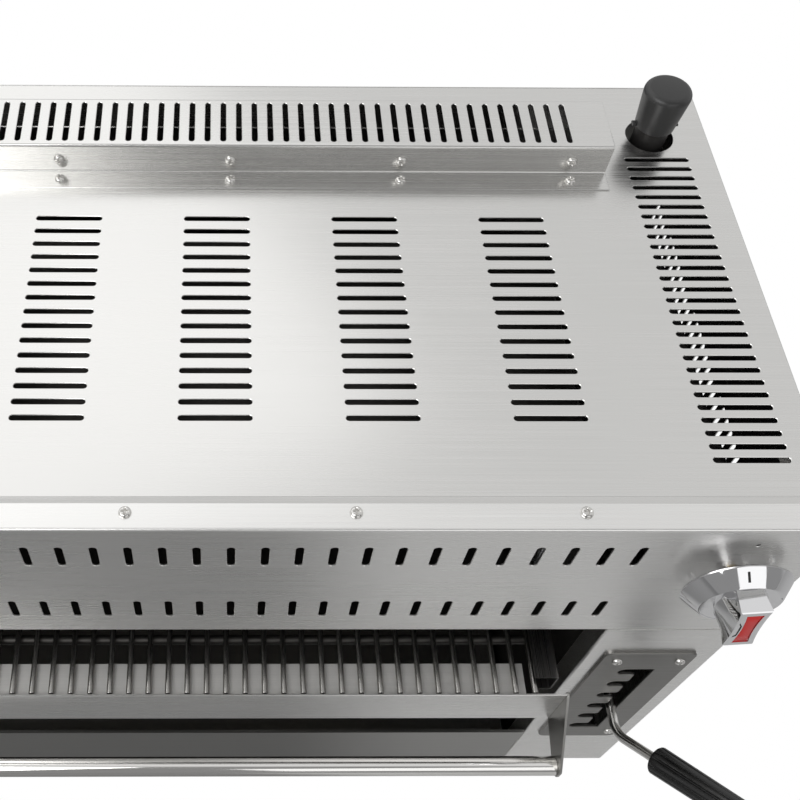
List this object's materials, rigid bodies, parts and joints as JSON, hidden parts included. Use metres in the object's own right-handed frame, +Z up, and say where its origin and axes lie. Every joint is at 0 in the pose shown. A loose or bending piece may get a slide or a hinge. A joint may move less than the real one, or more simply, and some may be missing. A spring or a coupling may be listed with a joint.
{
  "type": "cheese melter",
  "caption": "Gas-fired countertop cheese melter: slotted casing, overhead burners, pull-out rack on a lever-worked lift with notches, drip tray and flue hood.",
  "frame": {"origin": "centre of the casing's underside, where it stands on a counter", "axes": "+X to the right as seen from the front, +Y to the back, +Z up"},
  "size_m": [0.9516, 0.5592, 0.5741],
  "materials": {
    "casing_steel": "horizontally brushed",
    "inner_steel": "mill",
    "screw_steel": "bright",
    "wire_steel": "bright drawn",
    "polished_tube": "polished",
    "lever_chrome": "polished",
    "knob_chrome": "satin chrome",
    "knob_red": "gloss",
    "black_plastic": "satin",
    "ceramic": "matt",
    "black_iron": "black",
    "valve_brass": "as machined",
    "tube_aluminium": "as drawn"
  },
  "bodies": {
    "casing": {"top_panel": "casing_steel", "front_fascia": "casing_steel", "right_side_panel": "casing_steel", "left_side_panel": "casing_steel", "back_panel": "inner_steel", "base_panel": "inner_steel", "right_front_column": "casing_steel", "left_front_column": "casing_steel", "notch_plate": "casing_steel", "flue_cover": "casing_steel", "flue_angle": "inner_steel", "fascia_screws": "screw_steel", "notch_plate_screws": "screw_steel", "flue_cover_screws": "screw_steel", "back_liner": "inner_steel", "right_liner": "inner_steel", "left_liner": "inner_steel", "ceiling_panel": "inner_steel", "burner_screens": "wire_steel", "heat_shield": "inner_steel", "right_burner_box": "inner_steel", "left_burner_box": "inner_steel", "right_burner_tiles": "ceramic", "left_burner_tiles": "ceramic", "gas_manifold": "black_iron", "gas_inlet_pipe": "black_iron", "pipe_tee": "black_iron", "manifold_brackets": "inner_steel", "right_gas_valve": "valve_brass", "left_gas_valve": "valve_brass", "right_feed_tube": "tube_aluminium", "left_feed_tube": "tube_aluminium", "right_shaft_bearing": "inner_steel", "left_shaft_bearing": "inner_steel", "lift_guides": "inner_steel"},
    "right_control": {"right_knob": "knob_chrome", "right_knob_insert": "knob_red", "right_valve_stem": "valve_brass"},
    "left_control": {"left_knob": "knob_chrome", "left_knob_insert": "knob_red", "left_valve_stem": "valve_brass"},
    "lift_axle": {"lift_shaft": "inner_steel", "right_lift_arm": "inner_steel", "left_lift_arm": "inner_steel", "lever_hub": "inner_steel", "pivot_pin": "inner_steel"},
    "lever": {"lever_rod": "lever_chrome", "lever_grip": "black_plastic"},
    "lift_frame": {"right_carriage": "inner_steel", "left_carriage": "inner_steel", "right_runner": "inner_steel", "left_runner": "inner_steel", "rear_cross_bar": "wire_steel"},
    "rack": {"grill_rack": "wire_steel", "rack_apron": "casing_steel", "right_end_bracket": "casing_steel", "left_end_bracket": "casing_steel", "handle_tube": "polished_tube"},
    "tray": {"drip_tray": "casing_steel"},
    "thread_cap": {"pipe_cap": "black_plastic"}
  },
  "joints": [
    {"name": "right_knob_turn", "type": "hinge", "parent": "casing", "child": "right_control", "pos_m": [0.4075, -0.21, 0.461], "axis": [0, -1, 0], "range_deg": [-10, 170]},
    {"name": "left_knob_turn", "type": "hinge", "parent": "casing", "child": "left_control", "pos_m": [-0.4075, -0.21, 0.461], "axis": [0, -1, 0], "range_deg": [-10, 170]},
    {"name": "lever_lift", "type": "hinge", "parent": "casing", "child": "lift_axle", "pos_m": [0, 0.14, 0.1979], "axis": [-1, 0, 0], "range_deg": [-9.45, 14.26]},
    {"name": "lever_side", "type": "hinge", "parent": "lift_axle", "child": "lever", "pos_m": [0.40995, 0.11402, 0.19681], "axis": [0, 0.042, -0.9991], "range_deg": [0, 2.6]},
    {"name": "lift_slide", "type": "slide", "parent": "casing", "child": "lift_frame", "axis": [0, 0, 1], "range_m": [-0.041, 0.0618]},
    {"name": "rack_pull", "type": "slide", "parent": "lift_frame", "child": "rack", "axis": [0, -1, 0], "range_m": [0, 0.25]},
    {"name": "tray_pull", "type": "slide", "parent": "casing", "child": "tray", "axis": [0, -1, 0], "range_m": [0, 0.25]},
    {"name": "cap_lift", "type": "slide", "parent": "casing", "child": "thread_cap", "axis": [0, 0, 1], "range_m": [0, 0.06]}
  ],
  "couplings": [
    {"joint": "lift_slide", "follows": "lever_lift", "m_per_rad": 0.2482}
  ]
}
